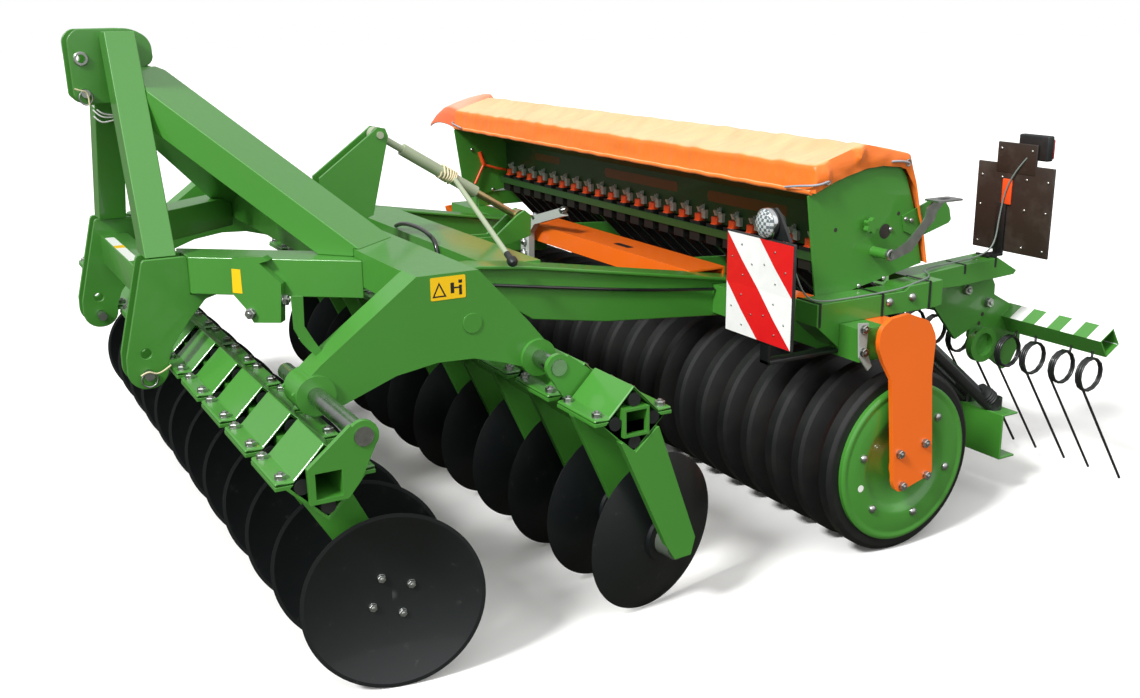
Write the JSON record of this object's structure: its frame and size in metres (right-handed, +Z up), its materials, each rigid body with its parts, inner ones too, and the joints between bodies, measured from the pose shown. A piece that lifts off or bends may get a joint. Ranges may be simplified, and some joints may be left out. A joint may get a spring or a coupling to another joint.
{
  "type": "seed drill",
  "caption": "Mounted seed drill combination: two rows of cutting discs, a wedge ring roller, a covered seed hopper over metering units and tubes, and a following tine harrow.",
  "frame": {"origin": "on the ground under the middle of the machine's outline", "axes": "+Z up, -Y towards the tractor, +X to the machine's left side"},
  "size_m": [3.1396, 3.0595, 1.5939],
  "materials": {
    "green_paint": "gloss",
    "orange_paint": "gloss",
    "disc_paint": "satin",
    "bright_steel": "satin",
    "zinc_steel": "satin",
    "black_rubber": "matte",
    "cover_sheet": "matte",
    "orange_plastic": "matte",
    "black_plastic": "matte",
    "board_paint": "gloss",
    "lamp_plastic": "gloss"
  },
  "bodies": {
    "chassis": {"arm_covers": "green_paint", "diagonal_beams": "green_paint", "disc_arms": "green_paint", "disc_hubs": "zinc_steel", "front_link_bracket": "green_paint", "gang_beams": "green_paint", "gang_shafts": "bright_steel", "headstock_posts": "green_paint", "hitch_pins": "zinc_steel", "hitch_plates": "green_paint", "rubber_cords": "black_rubber", "saddle_beam": "green_paint", "saddle_cheeks": "green_paint", "strut_beams": "green_paint", "top_link_plates": "green_paint"},
    "rear_frame": {"rear_arms": "green_paint", "rear_cross_beams": "green_paint", "rear_link_bracket": "green_paint", "roller_frame": "orange_paint", "drill_side_beams": "green_paint", "hopper": "green_paint", "hopper_cover": "cover_sheet", "hopper_ends": "green_paint", "metering_row": "orange_plastic", "seed_tubes": "black_plastic", "coulter_beam": "green_paint", "harrow_carriers": "green_paint", "warning_boards": "board_paint", "lamps": "lamp_plastic"},
    "roller": {"roller_drum": "orange_paint", "roller_rings": "black_rubber", "roller_end_discs": "green_paint"},
    "turnbuckle_tube": {"turnbuckle_tube": "green_paint"},
    "turnbuckle_rod": {"turnbuckle_rod": "zinc_steel"},
    "harrow": {"harrow_beam": "green_paint", "harrow_tines": "disc_paint"},
    "disc_front_01": {"disc_front_01": "disc_paint"},
    "disc_front_02": {"disc_front_02": "disc_paint"},
    "disc_front_03": {"disc_front_03": "disc_paint"},
    "disc_front_04": {"disc_front_04": "disc_paint"},
    "disc_front_05": {"disc_front_05": "disc_paint"},
    "disc_front_06": {"disc_front_06": "disc_paint"},
    "disc_front_07": {"disc_front_07": "disc_paint"},
    "disc_front_08": {"disc_front_08": "disc_paint"},
    "disc_front_09": {"disc_front_09": "disc_paint"},
    "disc_front_10": {"disc_front_10": "disc_paint"},
    "disc_front_11": {"disc_front_11": "disc_paint"},
    "disc_front_12": {"disc_front_12": "disc_paint"},
    "disc_rear_01": {"disc_rear_01": "disc_paint"},
    "disc_rear_02": {"disc_rear_02": "disc_paint"},
    "disc_rear_03": {"disc_rear_03": "disc_paint"},
    "disc_rear_04": {"disc_rear_04": "disc_paint"},
    "disc_rear_05": {"disc_rear_05": "disc_paint"},
    "disc_rear_06": {"disc_rear_06": "disc_paint"},
    "disc_rear_07": {"disc_rear_07": "disc_paint"},
    "disc_rear_08": {"disc_rear_08": "disc_paint"},
    "disc_rear_09": {"disc_rear_09": "disc_paint"},
    "disc_rear_10": {"disc_rear_10": "disc_paint"},
    "disc_rear_11": {"disc_rear_11": "disc_paint"},
    "disc_rear_12": {"disc_rear_12": "disc_paint"}
  },
  "joints": [
    {"name": "disc_front_01_spin", "type": "hinge", "parent": "chassis", "child": "disc_front_01", "pos_m": [1.454, -1.09, 0.22985], "axis": [-0.9786, 0.2027, -0.0366], "continuous": true},
    {"name": "disc_front_02_spin", "type": "hinge", "parent": "chassis", "child": "disc_front_02", "pos_m": [1.204, -1.09, 0.22985], "axis": [-0.9786, 0.2027, -0.0366], "continuous": true},
    {"name": "disc_front_03_spin", "type": "hinge", "parent": "chassis", "child": "disc_front_03", "pos_m": [0.954, -1.09, 0.22985], "axis": [-0.9786, 0.2027, -0.0366], "continuous": true},
    {"name": "disc_front_04_spin", "type": "hinge", "parent": "chassis", "child": "disc_front_04", "pos_m": [0.704, -1.09, 0.22985], "axis": [-0.9786, 0.2027, -0.0366], "continuous": true},
    {"name": "disc_front_05_spin", "type": "hinge", "parent": "chassis", "child": "disc_front_05", "pos_m": [0.454, -1.09, 0.22985], "axis": [-0.9786, 0.2027, -0.0366], "continuous": true},
    {"name": "disc_front_06_spin", "type": "hinge", "parent": "chassis", "child": "disc_front_06", "pos_m": [0.204, -1.09, 0.22985], "axis": [-0.9786, 0.2027, -0.0366], "continuous": true},
    {"name": "disc_front_07_spin", "type": "hinge", "parent": "chassis", "child": "disc_front_07", "pos_m": [-0.046, -1.09, 0.22985], "axis": [-0.9786, 0.2027, -0.0366], "continuous": true},
    {"name": "disc_front_08_spin", "type": "hinge", "parent": "chassis", "child": "disc_front_08", "pos_m": [-0.296, -1.09, 0.22985], "axis": [-0.9786, 0.2027, -0.0366], "continuous": true},
    {"name": "disc_front_09_spin", "type": "hinge", "parent": "chassis", "child": "disc_front_09", "pos_m": [-0.546, -1.09, 0.22985], "axis": [-0.9786, 0.2027, -0.0366], "continuous": true},
    {"name": "disc_front_10_spin", "type": "hinge", "parent": "chassis", "child": "disc_front_10", "pos_m": [-0.796, -1.09, 0.22985], "axis": [-0.9786, 0.2027, -0.0366], "continuous": true},
    {"name": "disc_front_11_spin", "type": "hinge", "parent": "chassis", "child": "disc_front_11", "pos_m": [-1.046, -1.09, 0.22985], "axis": [-0.9786, 0.2027, -0.0366], "continuous": true},
    {"name": "disc_front_12_spin", "type": "hinge", "parent": "chassis", "child": "disc_front_12", "pos_m": [-1.296, -1.09, 0.22985], "axis": [-0.9786, 0.2027, -0.0366], "continuous": true},
    {"name": "disc_rear_01_spin", "type": "hinge", "parent": "chassis", "child": "disc_rear_01", "pos_m": [1.427, -0.315, 0.22964], "axis": [0.9759, 0.211, -0.0558], "continuous": true},
    {"name": "disc_rear_02_spin", "type": "hinge", "parent": "chassis", "child": "disc_rear_02", "pos_m": [1.177, -0.315, 0.22964], "axis": [0.9759, 0.211, -0.0558], "continuous": true},
    {"name": "disc_rear_03_spin", "type": "hinge", "parent": "chassis", "child": "disc_rear_03", "pos_m": [0.927, -0.315, 0.22964], "axis": [0.9759, 0.211, -0.0558], "continuous": true},
    {"name": "disc_rear_04_spin", "type": "hinge", "parent": "chassis", "child": "disc_rear_04", "pos_m": [0.677, -0.315, 0.22964], "axis": [0.9759, 0.211, -0.0558], "continuous": true},
    {"name": "disc_rear_05_spin", "type": "hinge", "parent": "chassis", "child": "disc_rear_05", "pos_m": [0.427, -0.315, 0.22964], "axis": [0.9759, 0.211, -0.0558], "continuous": true},
    {"name": "disc_rear_06_spin", "type": "hinge", "parent": "chassis", "child": "disc_rear_06", "pos_m": [0.177, -0.315, 0.22964], "axis": [0.9759, 0.211, -0.0558], "continuous": true},
    {"name": "disc_rear_07_spin", "type": "hinge", "parent": "chassis", "child": "disc_rear_07", "pos_m": [-0.073, -0.315, 0.22964], "axis": [0.9759, 0.211, -0.0558], "continuous": true},
    {"name": "disc_rear_08_spin", "type": "hinge", "parent": "chassis", "child": "disc_rear_08", "pos_m": [-0.323, -0.315, 0.22964], "axis": [0.9759, 0.211, -0.0558], "continuous": true},
    {"name": "disc_rear_09_spin", "type": "hinge", "parent": "chassis", "child": "disc_rear_09", "pos_m": [-0.573, -0.315, 0.22964], "axis": [0.9759, 0.211, -0.0558], "continuous": true},
    {"name": "disc_rear_10_spin", "type": "hinge", "parent": "chassis", "child": "disc_rear_10", "pos_m": [-0.823, -0.315, 0.22964], "axis": [0.9759, 0.211, -0.0558], "continuous": true},
    {"name": "disc_rear_11_spin", "type": "hinge", "parent": "chassis", "child": "disc_rear_11", "pos_m": [-1.073, -0.315, 0.22964], "axis": [0.9759, 0.211, -0.0558], "continuous": true},
    {"name": "disc_rear_12_spin", "type": "hinge", "parent": "chassis", "child": "disc_rear_12", "pos_m": [-1.323, -0.315, 0.22964], "axis": [0.9759, 0.211, -0.0558], "continuous": true},
    {"name": "rear_frame_pitch", "type": "hinge", "parent": "chassis", "child": "rear_frame", "pos_m": [0, -0.741, 0.836], "axis": [1, 0, 0], "range_deg": [-3.5, 3.5]},
    {"name": "turnbuckle_swing", "type": "hinge", "parent": "chassis", "child": "turnbuckle_tube", "pos_m": [0, -0.54, 1.225], "axis": [1, 0, 0], "range_deg": [-4, 4]},
    {"name": "turnbuckle_length", "type": "slide", "parent": "turnbuckle_tube", "child": "turnbuckle_rod", "axis": [0, 0.8508, -0.5256], "range_m": [-0.04, 0.04]},
    {"name": "roller_spin", "type": "hinge", "parent": "rear_frame", "child": "roller", "pos_m": [0, 0.548, 0.29], "axis": [1, 0, 0], "continuous": true},
    {"name": "harrow_lift", "type": "hinge", "parent": "rear_frame", "child": "harrow", "pos_m": [0, 1.236, 0.64], "axis": [1, 0, 0], "range_deg": [0, 40]}
  ],
  "couplings": [
    {"joint": "turnbuckle_swing", "follows": "rear_frame_pitch", "ratio": 0.9486},
    {"joint": "turnbuckle_length", "follows": "rear_frame_pitch", "m_per_rad": -0.4366}
  ]
}
